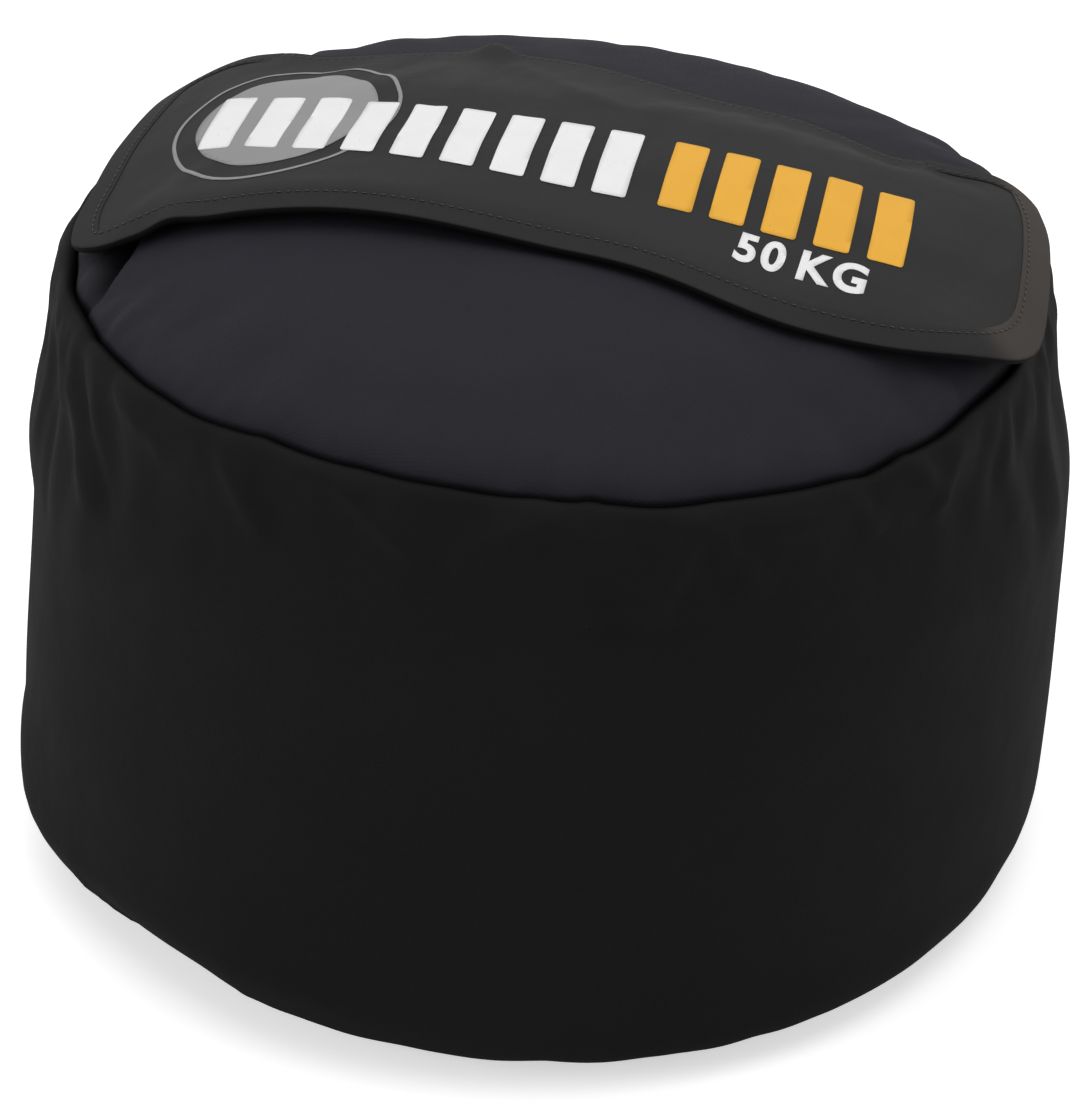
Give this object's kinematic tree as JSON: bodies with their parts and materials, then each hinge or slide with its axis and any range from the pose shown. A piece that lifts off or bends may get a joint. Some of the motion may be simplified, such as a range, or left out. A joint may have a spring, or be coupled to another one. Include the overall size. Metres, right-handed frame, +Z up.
{
  "type": "sandbag trainer",
  "caption": "Squat round sandbag for lifting: bulged sewn wall, crowned top with a zip under a wide bound cover flap, and a tied liner full of sand.",
  "frame": {"origin": "on the floor under the middle of the bag's widest ring", "axes": "+Z up; +X to the right along the flap and the zip; +Y to the rear, where the flap is sewn down"},
  "size_m": [0.4207, 0.42, 0.3006],
  "materials": {
    "wall_nylon": "coated plain-weave nylon, black",
    "top_nylon": "coated plain-weave nylon, faded black",
    "flap_nylon": "soft plain-weave nylon, charcoal",
    "edge_binding": "ribbed binding tape, taupe",
    "webbing": "black woven tape",
    "zip_tape": "black herringbone zip tape",
    "zip_teeth": "black moulded teeth",
    "zip_metal": "dark plated metal",
    "liner": "woven white polypropylene",
    "tie_cord": "twisted white cord",
    "sand": "fine dry sand"
  },
  "bodies": {
    "bag": {"bottom_panel": "wall_nylon", "side_wall": "wall_nylon", "side_seam_tape": "webbing", "bottom_seam_binding": "webbing", "top_seam_binding": "webbing", "front_top_panel": "top_nylon", "rear_top_panel": "top_nylon", "zip_end_panel_left": "webbing", "zip_end_panel_right": "webbing", "zip_tape_front": "zip_tape", "zip_tape_rear": "zip_tape", "zip_teeth_front": "zip_teeth", "zip_teeth_rear": "zip_teeth", "zip_stop_left": "zip_metal", "zip_stop_right": "zip_metal", "top_loop_strip": "webbing", "flap_root_strip": "top_nylon", "liner_bag": "liner", "liner_neck_tie": "tie_cord", "sand_fill": "sand"},
    "flap": {"flap_outer_ply": "flap_nylon", "flap_inner_ply": "flap_nylon", "flap_edge_binding": "edge_binding", "flap_hook_strip": "webbing"},
    "zip_slider": {"zip_slider_upper": "zip_metal", "zip_slider_lower": "zip_metal"},
    "zip_pull": {"zip_pull_tab": "zip_metal"}
  },
  "joints": [
    {"name": "flap_hinge", "type": "hinge", "parent": "bag", "child": "flap", "pos_m": [0.01565, 0.05423, 0.29193], "axis": [-0.9979, 0.0523, 0.0383], "range_deg": [0, 175], "deforming": ["flap_outer_ply", "flap_inner_ply"]},
    {"name": "slider_travel", "type": "hinge", "parent": "bag", "child": "zip_slider", "pos_m": [-0.01219, 0, -0.35857], "axis": [0, 1, 0], "range_deg": [0, 18.16]},
    {"name": "pull_swing", "type": "hinge", "parent": "zip_slider", "child": "zip_pull", "pos_m": [-0.09035, 0, 0.28889], "axis": [0, -1, 0], "range_deg": [0, 170]}
  ]
}
